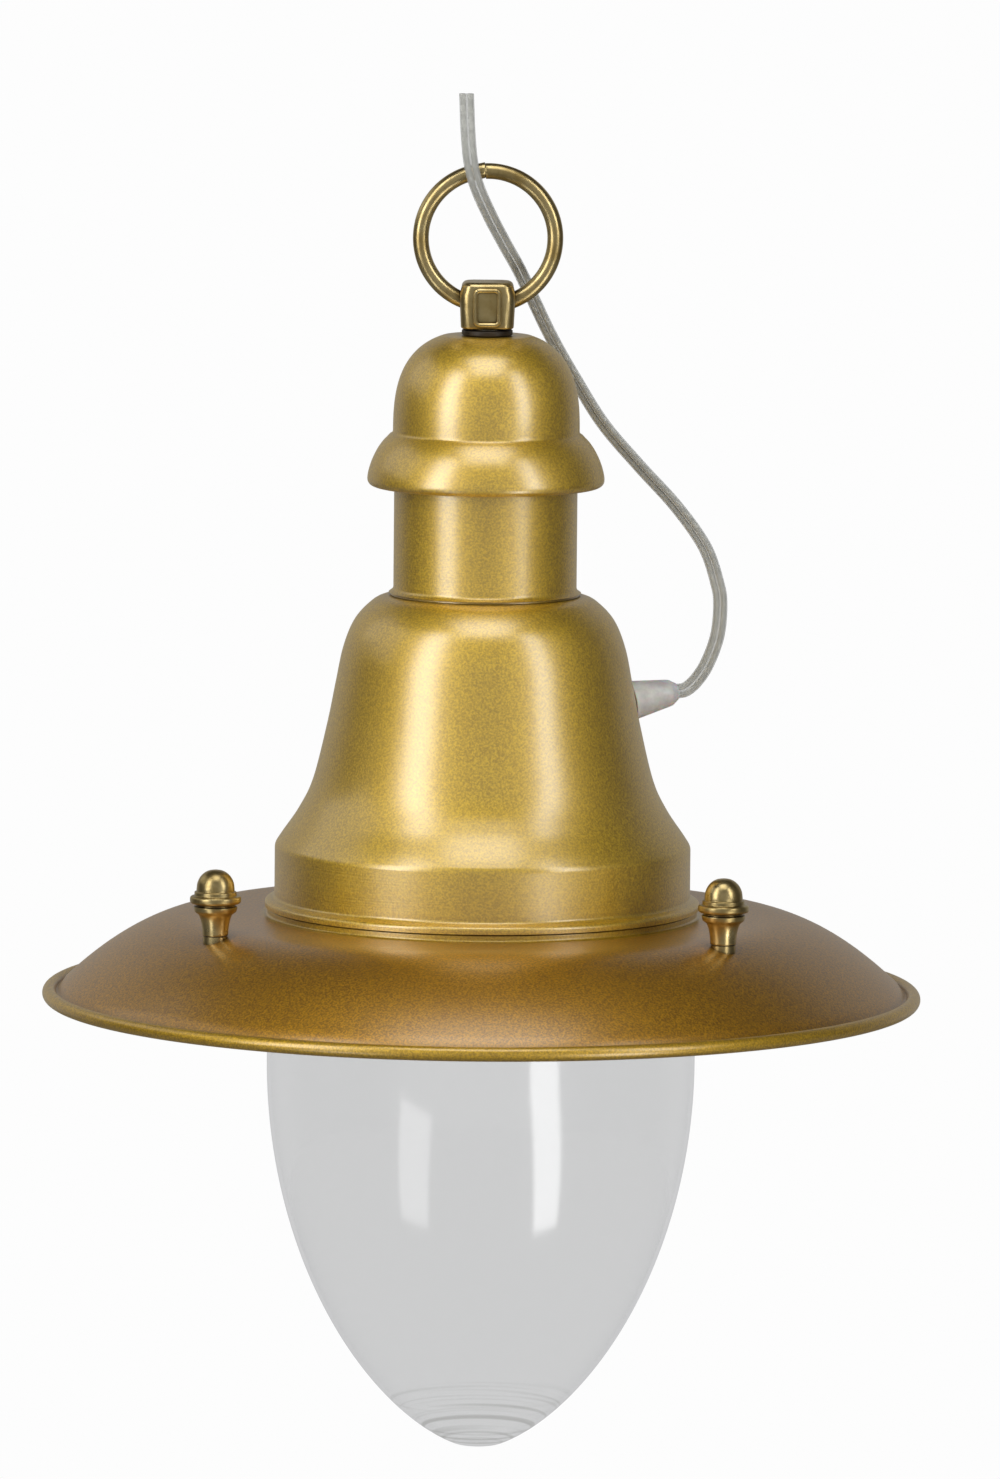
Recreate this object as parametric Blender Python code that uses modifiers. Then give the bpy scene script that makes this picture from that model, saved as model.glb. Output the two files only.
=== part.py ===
"""Ship lantern: an electric pendant with a spun shade, a bell housing, a capped neck and a clear glass.

Metres, +Z up. The origin is the point that the lantern hangs from, the inner top of its ring.
Lengths below are in millimetres and are scaled once, as each mesh or curve is made.
"""

import math

import bmesh
import bpy
from mathutils import Euler, Vector

MM = 0.001
GAP = 0.3  # what touching pieces keep between them
SHEET = 1.2  # wall of the spun metal shells
FINE = 48  # steps round the large turned shells
MEDIUM = 36
SMALL = 20

# Hanging ring and its holder
RING_R = 28.0
RING_WIRE = 3.5
RING_Z = RING_WIRE - RING_R
RING_BOTTOM = RING_Z - RING_R
SWING_Z = RING_BOTTOM + 1.3  # axis of the cross hole, midway in the wire's curve
CROSS_HOLE = 5.1
HOLDER_WIDTH = 22.8
HOLDER_TOP = -42.6
HOLDER_BASE = -61.3

# Heights down the lantern
SEAT_Z = -65.5  # flat top of the dome cap
CREASE_Z = -107.0
SKIRT_Z = -125.6
NECK_FOOT = -174.5
BELL_TOP = -174.8
BAND_TOP = -278.5
BAND_FOOT = -303.4
FLANGE_Z = -304.8
SHADE_TOP = -307.2
SHADE_FLAT = -310.2
GROOVE_Z = -341.9
GLASS_LIP = -318.0
GLASS_WIDEST = -372.0
GLASS_TIP = -534.0

# Radii
DOME_R = 39.2
SKIRT_R = 49.8
NECK_R = 38.5
BAND_R = 87.5
FLANGE_R = 91.2
COLLAR_R = 90.4
SHADE_HOLE = 78.0
DOME_START = 120.0  # where the shade's flat top begins to fall
GROOVE_R = 178.3
SHADE_R = 185.0
GLASS_R = 90.2
GLASS_WALL = 3.0
GLASS_FLARE = 7.5  # how far its lip turns out
TUBE_R = 5.0
TUBE_HOLE = 5.4

# Clamp studs and their nuts
STUD_CIRCLE = 133.0
STUD_ANGLES = (213.5, 319.0, 86.2)
STUD_R = 2.5
STUD_HOLE = 2.9
WASHER_R = 5.2
WASHER_THICK = 0.6

# Ring that carries the glass
CARRIER_R = 138.5
CARRIER_SHEET = 1.5
CARRIER_DROP = 1.0  # from the shade's underside at the flange's edge to the flange

# Strain relief and cord
GLAND_ANGLE = 15.0
GLAND_TILT = 10.0
GLAND_R = 63.7  # bell radius where the strain relief seats
GLAND_Z = -221.0
CORD_R = 3.0


def clear_scene():
    for old in list(bpy.data.objects):
        bpy.data.objects.remove(old, do_unlink=True)


def collection(name, hidden=False):
    made = bpy.data.collections.new(name)
    bpy.context.scene.collection.children.link(made)
    made.hide_render = hidden
    return made


def material(name, colour, roughness, metallic, alpha=1.0):
    made = bpy.data.materials.new(name)
    made.use_nodes = True
    shader = made.node_tree.nodes["Principled BSDF"]
    shader.inputs["Base Color"].default_value = (*colour, 1.0)
    shader.inputs["Roughness"].default_value = roughness
    shader.inputs["Metallic"].default_value = metallic
    shader.inputs["Alpha"].default_value = alpha
    made.diffuse_color = (*colour, alpha)
    return made


clear_scene()
PARTS = collection("ship_lantern")
CUTTERS = collection("cutters", hidden=True)

GOLD = material("gold_paint", (0.52, 0.38, 0.11), 0.38, 0.85)
BRASS = material("antique_brass", (0.60, 0.46, 0.20), 0.25, 1.0)
STEEL = material("zinc_steel", (0.62, 0.62, 0.60), 0.40, 1.0)
DARK = material("dark_washer", (0.10, 0.08, 0.06), 0.50, 0.3)
GLASS = material("clear_glass", (0.90, 0.91, 0.91), 0.03, 0.0, 0.3)
RUBBER = material("gasket_rubber", (0.05, 0.05, 0.05), 0.80, 0.0)
NYLON = material("natural_nylon", (0.78, 0.77, 0.73), 0.45, 0.0)
CERAMIC = material("white_ceramic", (0.86, 0.84, 0.80), 0.30, 0.0)
PVC = material("clear_pvc", (0.62, 0.63, 0.60), 0.35, 0.0)


def place(obj, paint, cutter=False):
    """Puts an object in its collection and gives it its material."""
    (CUTTERS if cutter else PARTS).objects.link(obj)
    obj.data.materials.append(paint)
    if cutter:
        obj.display_type = "WIRE"
        obj.hide_render = True
    return obj


def turned(name, outline, paint, steps=FINE, wall=None, closed=False, at=(0, 0, 0), cutter=False):
    """A solid of revolution about Z from (radius, height) points that run down its outer side.

    With a wall, the outline is the outer surface of a shell. A closed outline is the whole section.
    """
    mesh = bpy.data.meshes.new(name)
    points = [(r * MM, 0.0, z * MM) for r, z in outline]
    edges = [(i, i + 1) for i in range(len(points) - 1)]
    if closed:
        edges.append((len(points) - 1, 0))
    mesh.from_pydata(points, edges, [])
    obj = place(bpy.data.objects.new(name, mesh), paint, cutter)
    obj.location = Vector(at) * MM
    screw = obj.modifiers.new("turn", "SCREW")
    screw.steps = steps
    screw.render_steps = steps
    screw.use_merge_vertices = True
    screw.merge_threshold = 0.00001
    screw.use_smooth_shade = False
    if wall:
        thick = obj.modifiers.new("wall", "SOLIDIFY")
        thick.thickness = wall * MM
        thick.offset = -1.0
        thick.use_even_offset = True
    return obj


def block(name, size, at, paint, edge=0.0, cutter=False):
    """A box with rounded edges, size and centre in millimetres."""
    mesh = bpy.data.meshes.new(name)
    shape = bmesh.new()
    bmesh.ops.create_cube(shape, size=1.0)
    bmesh.ops.scale(shape, vec=Vector(size) * MM, verts=shape.verts)
    shape.to_mesh(mesh)
    shape.free()
    obj = place(bpy.data.objects.new(name, mesh), paint, cutter)
    obj.location = Vector(at) * MM
    if edge:
        soft = obj.modifiers.new("edges", "BEVEL")
        soft.width = edge * MM
        soft.segments = 3
        soft.limit_method = "ANGLE"
    return obj


def rod(name, radius, length, at, paint, rotation=(0, 0, 0), sides=SMALL, cutter=False):
    """A plain cylinder centred at a point, along its own Z."""
    mesh = bpy.data.meshes.new(name)
    shape = bmesh.new()
    bmesh.ops.create_cone(
        shape,
        cap_ends=True,
        segments=sides,
        radius1=radius * MM,
        radius2=radius * MM,
        depth=length * MM,
    )
    shape.to_mesh(mesh)
    shape.free()
    obj = place(bpy.data.objects.new(name, mesh), paint, cutter)
    obj.location = Vector(at) * MM
    obj.rotation_euler = Euler([math.radians(a) for a in rotation])
    return obj


def cut(target, tool):
    """Takes a cutter away from a part."""
    made = target.modifiers.new("cut_" + tool.name, "BOOLEAN")
    made.operation = "DIFFERENCE"
    made.solver = "EXACT"
    made.object = tool


def curve_through(points, count):
    """Evenly spaced points on a Catmull-Rom curve through the given ones."""
    ends = [points[0] * 2 - points[1], *points, points[-1] * 2 - points[-2]]
    fine = []
    for a, b, c, d in zip(ends, ends[1:], ends[2:], ends[3:]):
        for step in range(40):
            t = step / 40
            fine.append(
                0.5
                * (
                    b * 2
                    + (c - a) * t
                    + (a * 2 - b * 5 + c * 4 - d) * t * t
                    + (b * 3 - a - c * 3 + d) * t**3
                )
            )
    fine.append(points[-1])
    run = [0.0]
    for a, b in zip(fine, fine[1:]):
        run.append(run[-1] + (b - a).length)
    even = []
    index = 0
    for n in range(count):
        want = run[-1] * n / (count - 1)
        while index < len(run) - 2 and run[index + 1] < want:
            index += 1
        share = (want - run[index]) / (run[index + 1] - run[index])
        even.append(fine[index].lerp(fine[index + 1], share))
    return even


def smooth_outline(points, count):
    """The same for an outline of (radius, height) points."""
    return [(p.x, p.y) for p in curve_through([Vector((r, z, 0)) for r, z in points], count)]


def wire(name, route, radius, paint, count, resolution=2):
    """A cord or lead: a round tube along a smooth curve through its route."""
    data = bpy.data.curves.new(name, "CURVE")
    data.dimensions = "3D"
    data.bevel_depth = radius * MM
    data.bevel_resolution = resolution
    data.use_fill_caps = True
    spline = data.splines.new("POLY")
    points = curve_through([Vector(p) for p in route], count)
    spline.points.add(len(points) - 1)
    for point, where in zip(spline.points, points):
        point.co = (*(where * MM), 1.0)
    return place(bpy.data.objects.new(name, data), paint)


def around(angle, radius, z):
    """The point at this angle in degrees, radius and height."""
    turn = math.radians(angle)
    return (radius * math.cos(turn), radius * math.sin(turn), z)


def hanging_ring():
    steps = 48
    mesh = bpy.data.meshes.new("hanging_ring")
    section = []
    for n in range(10):
        turn = 2 * math.pi * n / 10
        section.append((RING_R + RING_WIRE * math.cos(turn), -RING_WIRE * math.sin(turn)))
    mesh.from_pydata(
        [(r * MM, 0.0, z * MM) for r, z in section], [(n, (n + 1) % 10) for n in range(10)], []
    )
    obj = place(bpy.data.objects.new("hanging_ring", mesh), BRASS)
    screw = obj.modifiers.new("turn", "SCREW")
    screw.steps = steps
    screw.render_steps = steps
    screw.merge_threshold = 0.00001
    screw.use_merge_vertices = True
    obj.location = (0, 0, RING_Z * MM)
    obj.rotation_euler = (math.radians(90), 0, 0)
    return obj


def ring_holder():
    height = HOLDER_TOP - HOLDER_BASE
    middle = (HOLDER_TOP + HOLDER_BASE) / 2
    holder = block("ring_holder", (HOLDER_WIDTH, 20.0, height), (0, 0, middle), BRASS, edge=2.2)
    foot = rod("holder_foot", 8.5, 4.0, (0, 0, HOLDER_BASE + 0.8), BRASS, sides=24, cutter=True)
    join = holder.modifiers.new("foot", "BOOLEAN")
    join.operation = "UNION"
    join.solver = "EXACT"
    join.object = foot
    hole = rod("cross_hole", CROSS_HOLE, 40.0, (0, 0, SWING_Z), BRASS, (0, 90, 0), 24, True)
    cut(holder, hole)
    for name, side in (("front_panel", -1), ("back_panel", 1)):
        panel = block(name, (10.2, 2.4, 14.2), (0, side * 10.0, middle + 0.3), BRASS, 1.0, True)
        cut(holder, panel)
    bore_top = SWING_Z - CROSS_HOLE - 1.6
    bore_low = HOLDER_BASE - 4.0
    bore = rod(
        "holder_bore",
        TUBE_HOLE,
        bore_top - bore_low,
        (0, 0, (bore_top + bore_low) / 2),
        BRASS,
        sides=24,
        cutter=True,
    )
    cut(holder, bore)
    return bore_top


def washer(name, inner, outer, top, bottom, paint, steps=SMALL, at=(0, 0, 0)):
    section = [(outer, top), (outer, bottom), (inner, bottom), (inner, top)]
    return turned(name, section, paint, steps, closed=True, at=at)


def hex_nut(name, corner, bore, thick, at, paint, rotation=(0, 0, 0)):
    """A hexagonal nut with a plain round bore, centred at a point."""
    nut = rod(name, corner, thick, at, paint, rotation, sides=6)
    cut(nut, rod(name + "_bore", bore, thick + 4.0, at, paint, rotation, 24, cutter=True))
    return nut


def dome_cap():
    """A squared-off dome over an ogee skirt that shelters the neck."""
    outline = [(TUBE_HOLE, SEAT_Z)]
    crown = 2.0  # how far the curve's own top lies above the flat seat
    rise = SEAT_Z + crown - CREASE_Z
    for n in range(9):
        z = SEAT_Z + (CREASE_Z - SEAT_Z) * (n / 8) ** 1.6
        outline.append((DOME_R * (1 - ((z - CREASE_Z) / rise) ** 2.8) ** (1 / 2.8), z))
    for n in range(1, 6):
        z = CREASE_Z + (SKIRT_Z - CREASE_Z) * n / 5
        share = (1 - ((z - SKIRT_Z) / (CREASE_Z - SKIRT_Z)) ** 1.5) ** (1 / 1.5)
        outline.append((DOME_R + (SKIRT_R - DOME_R) * share, z))
    outline += [(49.2, -128.0), (47.2, -129.6)]
    return turned("dome_cap", outline, GOLD, MEDIUM, wall=SHEET)


def neck_tube():
    outline = [(NECK_R, CREASE_Z - 2.2), (NECK_R, NECK_FOOT + 3.5)]
    outline += [(NECK_R + 0.4, NECK_FOOT + 2.2), (NECK_R + 1.5, NECK_FOOT + 1.1)]
    return turned("neck_tube", outline, GOLD, MEDIUM, wall=SHEET)


def bell_housing():
    shoulder = [(41.0, BELL_TOP), (47.0, -177.4), (54.5, -185.3), (59.3, -197.0), (62.4, -212.0)]
    skirt = [(65.8, -229.4), (71.5, -252.8), (77.4, -265.5), (86.2, BAND_TOP)]
    outline = [(TUBE_HOLE, BELL_TOP)] + smooth_outline(shoulder + skirt, 13)
    outline += [(BAND_R, BAND_TOP - 5.5), (BAND_R, BAND_FOOT), (88.4, FLANGE_Z + 0.5)]
    outline += [(FLANGE_R - 0.9, FLANGE_Z), (FLANGE_R, FLANGE_Z - 0.9)]
    bell = turned("bell_housing", outline, GOLD, FINE, wall=SHEET)
    hole = rod("gland_hole", 5.6, 16.0, gland_point(0.0), GOLD, cutter=True)
    hole.rotation_euler = GLAND_AXIS.to_track_quat("Z", "Y").to_euler()
    cut(bell, hole)
    return bell


def shade_dome_z(r):
    """Height of the shade's upper surface outside its collar."""
    fall = max(0.0, (r - DOME_START) / (GROOVE_R - DOME_START))
    return SHADE_FLAT + (GROOVE_Z - SHADE_FLAT) * fall**1.8


def shade():
    """A wide shallow dome with a collar at its hole and a rolled rim outside a groove."""
    outline = [(SHADE_HOLE, SHADE_TOP), (COLLAR_R - 0.8, SHADE_TOP), (COLLAR_R, SHADE_TOP - 0.8)]
    outline += [(COLLAR_R, SHADE_FLAT + 0.9), (COLLAR_R + 1.6, SHADE_FLAT)]
    for n in range(8):
        r = DOME_START + (GROOVE_R - DOME_START) * (n / 7) ** 0.8
        outline.append((r, shade_dome_z(r)))
    outline += [(GROOVE_R + 3.0, GROOVE_Z + 0.3), (SHADE_R - 0.9, GROOVE_Z - 0.6)]
    outline += [(SHADE_R, GROOVE_Z - 2.0), (SHADE_R - 0.3, GROOVE_Z - 3.9)]
    made = turned("shade", outline, GOLD, FINE, wall=SHEET)
    for number, angle in enumerate(STUD_ANGLES, 1):
        where = around(angle, STUD_CIRCLE, SHADE_FLAT)
        cut(made, rod(f"stud_hole_{number}", STUD_HOLE, 20.0, where, GOLD, sides=16, cutter=True))
    return made


def glass_globe():
    """A blown glass: a lip turned out at the top, a straight wall, then a rounded point."""
    fillet = 4.0
    outline = [(GLASS_R + GLASS_FLARE, GLASS_LIP)]
    for n in range(4):
        turn = math.radians(90 * n / 3)
        r = GLASS_R + fillet - fillet * math.sin(turn)
        outline.append((r, GLASS_LIP - fillet + fillet * math.cos(turn)))
    outline.append((GLASS_R, GLASS_WIDEST))
    depth = GLASS_WIDEST - GLASS_TIP
    for n in range(1, 9):
        share = math.sin(math.radians(9 * n))
        outline.append((GLASS_R * (1 - share**2) ** 0.61, GLASS_WIDEST - depth * share))
    knob = [(15.8, 5.2), (13.4, 2.6), (10.2, 0.8), (5.0, 0.1), (0.0, 0.0)]
    outline += [(r, GLASS_TIP + rise) for r, rise in knob]
    return turned("glass_globe", outline, GLASS, FINE, wall=GLASS_WALL)


def glass_carrier():
    """The pressed ring that holds the glass by its lip and takes the three studs."""
    shelf = GLASS_LIP - GAP
    wall = GLASS_R + GLASS_FLARE + 0.6
    inner = GLASS_R + 3.4
    flange = shade_dome_z(CARRIER_R) - SHEET - CARRIER_DROP
    section = [
        (wall, flange),
        (CARRIER_R, flange),
        (CARRIER_R, flange - CARRIER_SHEET),
        (wall + CARRIER_SHEET, flange - CARRIER_SHEET),
        (wall + CARRIER_SHEET, shelf - CARRIER_SHEET),
        (inner, shelf - CARRIER_SHEET),
        (inner, shelf),
        (wall, shelf),
    ]
    carrier = turned("glass_carrier", section, STEEL, FINE, closed=True)
    for number, angle in enumerate(STUD_ANGLES, 1):
        where = around(angle, STUD_CIRCLE, flange)
        tool = rod(f"carrier_hole_{number}", STUD_R + GAP, 20.0, where, STEEL, sides=16, cutter=True)
        cut(carrier, tool)
    return flange - CARRIER_SHEET


def clamp_studs(under, nut_foot):
    """Studs with flat heads under the carrier, up through the shade into the nuts."""
    head = 4.2
    top = nut_foot + 17.0
    for number, angle in enumerate(STUD_ANGLES, 1):
        x, y, _ = around(angle, STUD_CIRCLE, 0)
        section = [(0, top), (STUD_R - 0.5, top), (STUD_R, top - 0.6), (STUD_R, under - GAP)]
        section += [(head, under - GAP), (head, under - 2.8), (0, under - 2.8)]
        turned(f"clamp_stud_{number}", section, STEEL, 12, at=(x, y, 0))


def finial_nuts():
    """Acorn-topped thumb nuts, each on a thin washer, one to a stud."""
    bore = STUD_R + GAP
    deep = 18.2
    washer_foot = shade_dome_z(STUD_CIRCLE - WASHER_R) + GAP
    washer_top = washer_foot + WASHER_THICK
    nut_foot = washer_top + GAP
    section = [(0, 27.6), (3.3, 26.9), (5.9, 25.0), (7.5, 22.2), (8.0, 19.0), (8.7, 18.5)]
    section += [(8.8, 16.9), (10.1, 16.3), (10.6, 14.9), (10.1, 13.4), (8.6, 12.9), (8.7, 12.2)]
    section += [(8.8, 10.2), (7.3, 8.9), (6.3, 6.9), (5.6, 3.4), (5.3, 0.0)]
    section += [(bore, 0.0), (bore, deep), (0, deep)]
    outline = [(r, z + nut_foot) for r, z in section]
    for number, angle in enumerate(STUD_ANGLES, 1):
        x, y, _ = around(angle, STUD_CIRCLE, 0)
        where = (x, y, 0)
        turned(f"finial_nut_{number}", outline, BRASS, 18, at=where)
        name = f"nut_washer_{number}"
        washer(name, STUD_HOLE, WASHER_R, washer_top, washer_foot, BRASS, 16, at=where)
    return nut_foot


def gland_point(along):
    """A point on the strain relief's axis, this far out from the bell's surface."""
    return Vector(around(GLAND_ANGLE, GLAND_R, GLAND_Z)) + GLAND_AXIS * along


def strain_relief():
    """A tapered bush outside the bell, with its neck through the wall and a nut inside."""
    section = [(0, 21.0), (2.6, 21.0), (5.4, 17.8), (5.8, 16.4), (8.2, 1.6), (8.2, 0.9)]
    section += [(5.0, 0.9), (5.0, -8.0), (0, -8.0)]
    bush = turned("strain_relief", section, PVC, SMALL)
    bush.location = gland_point(0.0) * MM
    bush.rotation_euler = GLAND_AXIS.to_track_quat("Z", "Y").to_euler()
    lean = [math.degrees(a) for a in bush.rotation_euler]
    hex_nut("strain_relief_nut", 8.6, 5.4, 3.8, gland_point(-4.6), NYLON, lean)


def through_tube(top):
    section = [(TUBE_R, top - GAP), (TUBE_R, -313.0), (3.6, -313.0), (3.6, top - GAP)]
    turned("threaded_tube", section, STEEL, 16, closed=True)


def clamp_bridge():
    """A cranked strap under the shade's hole, which the tube's nut pulls up against it."""
    foot = SHADE_TOP - SHEET - GAP
    deck = -298.0
    path = [(-86.0, foot), (-73.0, foot), (-62.0, deck), (62.0, deck), (73.0, foot), (86.0, foot)]
    half = 10.0
    mesh = bpy.data.meshes.new("clamp_bridge")
    points = [(x * MM, side * half * MM, z * MM) for x, z in path for side in (-1, 1)]
    faces = [(2 * n, 2 * n + 2, 2 * n + 3, 2 * n + 1) for n in range(len(path) - 1)]
    mesh.from_pydata(points, [], faces)
    bridge = place(bpy.data.objects.new("clamp_bridge", mesh), STEEL)
    thick = bridge.modifiers.new("wall", "SOLIDIFY")
    thick.thickness = 2.0 * MM
    thick.offset = -1.0
    thick.use_even_offset = True
    cut(bridge, rod("bridge_hole", TUBE_HOLE, 20.0, (0, 0, deck), STEEL, sides=16, cutter=True))
    washer("bridge_washer", TUBE_HOLE, 10.0, deck - 2.0 - GAP, deck - 3.6, STEEL, 16)
    hex_nut("bridge_nut", 9.6, TUBE_HOLE, 5.0, (0, 0, deck - 6.4), BRASS)
    return deck


def lampholder(top):
    """A screw lampholder: ceramic cap and skirt, brass screw shell and centre contact."""
    cap = [(7.5, top), (9.0, top - 3.0), (17.0, top - 5.0), (20.0, top - 8.0), (20.0, top - 14.0)]
    cap += [(0, top - 14.0), (0, top - 7.5), (TUBE_HOLE, top - 7.5), (TUBE_HOLE, top)]
    turned("lampholder_cap", cap, CERAMIC, MEDIUM, closed=True)
    high = top - 14.0 - GAP
    low = high - 27.0
    body = [(0, high), (20.0, high), (20.0, low + 4.0), (21.0, low + 4.0), (21.0, low)]
    body += [(14.6, low), (14.6, high - 3.0), (0, high - 3.0)]
    turned("lampholder_skirt", body, CERAMIC, MEDIUM)
    shell = [(14.2, high - 5.0), (14.2, low + 1.0), (13.5, low + 1.0), (13.5, high - 5.0)]
    turned("lampholder_shell", shell, BRASS, MEDIUM, closed=True)
    contact = [(0, high - 3.3), (5.0, high - 3.3), (5.0, high - 4.1), (2.5, high - 6.5), (0, high - 6.5)]
    turned("lampholder_contact", contact, BRASS, 16)


def wiring(deck):
    """The terminal block on the bridge, its fixing screw, the cord's tail and the two leads."""
    base = deck + GAP
    spot = (34.0, 0.0)
    height = 12.0
    body = block("terminal_block", (20.0, 15.0, height), (*spot, base + height / 2), NYLON, 1.0)
    hole = rod("block_hole", 1.9, 30.0, (*spot, base + height / 2), NYLON, sides=12, cutter=True)
    cut(body, hole)
    head = base + height + GAP
    screw = [(0, head + 2.0), (2.9, head + 1.4), (3.2, head), (1.5, head), (1.5, base), (0, base)]
    turned("terminal_screw", screw, STEEL, 12, at=(*spot, 0))
    inside = gland_point(-8.0 - 2 * GAP)
    tail = [inside, inside - GLAND_AXIS * 4, (45.5, 11, -232), (45.5, 7, -248), (51, 2, -268)]
    tail += [(55.5, 0, -282), (51, 0, -291), (44.0 + 2 * GAP, 0, -291.7)]
    wire("cord_tail", tail, 2.6, PVC, 34)
    for name, side in (("lead_live", -1), ("lead_neutral", 1)):
        route = [(23.4, side * 3.5, -291.7), (18.5, side * 5.5, -291.5), (14.5, side * 10.0, -293.5)]
        route += [(13.0, side * 13.3, -299.0), (12.5, side * 12.5, -305.0), (12.2, side * 10.0, -310.4)]
        wire(name, route, 1.1, PVC, 20)


def supply_cord():
    """The clear flex: up from the strain relief, behind the cap and through the ring."""
    start = gland_point(21.0 + GAP)
    route = [start, start + GLAND_AXIS * 3.4]
    route += [
        (89.4, 24.1, -213.0),
        (94.0, 25.2, -205.9),
        (98.2, 25.5, -194.0),
        (99.3, 25.5, -181.0),
        (98.0, 25.5, -172.0),
        (92.5, 26.0, -156.5),
        (80.3, 26.5, -139.5),
        (64.5, 27.0, -122.5),
        (49.3, 27.0, -105.0),
        (37.2, 26.5, -86.0),
        (27.2, 23.5, -68.5),
        (19.3, 18.5, -52.0),
        (13.0, 12.0, -38.5),
        (7.2, 3.0, -27.5),
        (1.0, -8.0, -15.0),
        (-4.6, -16.5, -2.0),
        (-7.4, -20.0, 8.5),
        (-8.7, -20.5, 21.0),
        (-9.5, -19.0, 37.5),
    ]
    return wire("supply_cord", route, CORD_R, PVC, 72)


def hang_from_ring():
    """Parents everything but the ring to an empty on the axis that the lantern swings about."""
    pivot = bpy.data.objects.new("swing_axis", None)
    pivot.location = (0.0, 0.0, SWING_Z * MM)
    PARTS.objects.link(pivot)
    bpy.context.view_layer.update()
    for obj in PARTS.objects:
        if obj.name not in ("swing_axis", "hanging_ring"):
            obj.parent = pivot
            obj.matrix_parent_inverse = pivot.matrix_world.inverted()


tilt = math.radians(GLAND_TILT)
GLAND_AXIS = Vector(around(GLAND_ANGLE, math.cos(tilt), math.sin(tilt)))

hanging_ring()
bore_top = ring_holder()
washer("holder_washer", TUBE_HOLE, 10.7, -62.9, SEAT_Z + GAP, DARK, 24)
dome_cap()
neck_tube()
bell_housing()
shade()
through_tube(bore_top)
bridge_deck = clamp_bridge()
lampholder(bridge_deck - 9.2)
wiring(bridge_deck)
carrier_under = glass_carrier()
clamp_studs(carrier_under, finial_nuts())
glass_globe()
washer("glass_gasket", GLASS_R + 3.0, GLASS_R + 7.2, -311.8, -314.6, RUBBER, FINE)
strain_relief()
supply_cord()
hang_from_ring()
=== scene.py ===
"""Looks of the ship lantern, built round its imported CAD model.

Metres, +Z up, as in the CAD frame. Outlines are in millimetres and are scaled once, as a mesh is made.
"""

import math

import bmesh
import bpy
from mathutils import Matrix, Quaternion, Vector


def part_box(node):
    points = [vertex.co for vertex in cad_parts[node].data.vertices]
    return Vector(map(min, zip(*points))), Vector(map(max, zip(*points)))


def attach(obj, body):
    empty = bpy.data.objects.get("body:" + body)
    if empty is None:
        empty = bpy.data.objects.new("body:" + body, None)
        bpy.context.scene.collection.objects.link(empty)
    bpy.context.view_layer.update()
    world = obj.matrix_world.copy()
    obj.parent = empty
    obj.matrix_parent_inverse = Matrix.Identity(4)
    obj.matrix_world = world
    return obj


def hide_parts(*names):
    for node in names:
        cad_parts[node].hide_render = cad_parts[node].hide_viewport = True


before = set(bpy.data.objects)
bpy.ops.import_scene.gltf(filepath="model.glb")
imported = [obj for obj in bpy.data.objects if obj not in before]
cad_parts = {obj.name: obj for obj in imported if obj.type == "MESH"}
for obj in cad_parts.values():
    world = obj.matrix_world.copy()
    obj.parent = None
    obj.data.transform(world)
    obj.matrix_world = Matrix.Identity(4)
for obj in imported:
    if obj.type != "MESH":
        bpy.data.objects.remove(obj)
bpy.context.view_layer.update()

MM = 0.001
WALL = 1.2  # wall of the spun metal shells
LARGE = 256  # steps round the large turned pieces
MEDIUM = 160
SMALL = 72
CREASE = 38.0  # a join sharper than this, in degrees, stays a crease
NUT_DROP = 0.5  # how much lower than in CAD the thumb nuts stand
TIP_DROP = 2.0  # how much lower than in CAD the glass ends


def extent(node):
    """A CAD node's lowest and highest corners, in millimetres."""
    low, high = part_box(node)
    return low / MM, high / MM


CAP_HIGH = extent("dome_cap")[1]
NECK_LOW, NECK_HIGH = extent("neck_tube")
BELL_LOW, BELL_HIGH = extent("bell_housing")
SHADE_HIGH = extent("shade")[1]
GLASS_LOW = extent("glass_globe")[0]
HOLDER_LOW, HOLDER_HIGH = extent("ring_holder")
RING_LOW, RING_HIGH = extent("hanging_ring")

# Strain relief, as the CAD model sets it
GLAND_ANGLE = math.radians(15.0)
GLAND_TILT = math.radians(10.0)
GLAND_R = 63.7
GLAND_Z = -221.0
GLAND_NOSE = 21.3
GLAND_AXIS = Vector(
    (
        math.cos(GLAND_ANGLE) * math.cos(GLAND_TILT),
        math.sin(GLAND_ANGLE) * math.cos(GLAND_TILT),
        math.sin(GLAND_TILT),
    )
)
GLAND_SEAT = Vector((GLAND_R * math.cos(GLAND_ANGLE), GLAND_R * math.sin(GLAND_ANGLE), GLAND_Z))

CORD_WIDTH = 6.2
CORD_THICK = 3.2

# The cord's route, as in the CAD model, in metres
CORD_EXIT = (GLAND_SEAT + GLAND_AXIS * GLAND_NOSE) * MM
CORD_ROUTE = [
    CORD_EXIT,
    (GLAND_SEAT + GLAND_AXIS * (GLAND_NOSE + 3.4)) * MM,
    (0.0894, 0.0241, -0.2130),
    (0.0940, 0.0252, -0.2059),
    (0.0982, 0.0255, -0.1940),
    (0.0993, 0.0255, -0.1810),
    (0.0980, 0.0255, -0.1720),
    (0.0925, 0.0260, -0.1565),
    (0.0803, 0.0265, -0.1395),
    (0.0645, 0.0270, -0.1225),
    (0.0493, 0.0270, -0.1050),
    (0.0372, 0.0265, -0.0860),
    (0.0272, 0.0235, -0.0685),
    (0.0193, 0.0185, -0.0520),
    (0.0130, 0.0120, -0.0385),
    (0.0072, 0.0030, -0.0275),
    (0.0010, -0.0080, -0.0150),
    (-0.0046, -0.0165, -0.0020),
    (-0.0074, -0.0200, 0.0085),
    (-0.0087, -0.0205, 0.0210),
    (-0.0095, -0.0190, 0.0375),
]


# ---------------------------------------------------------------- camera, lights and surroundings


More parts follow.
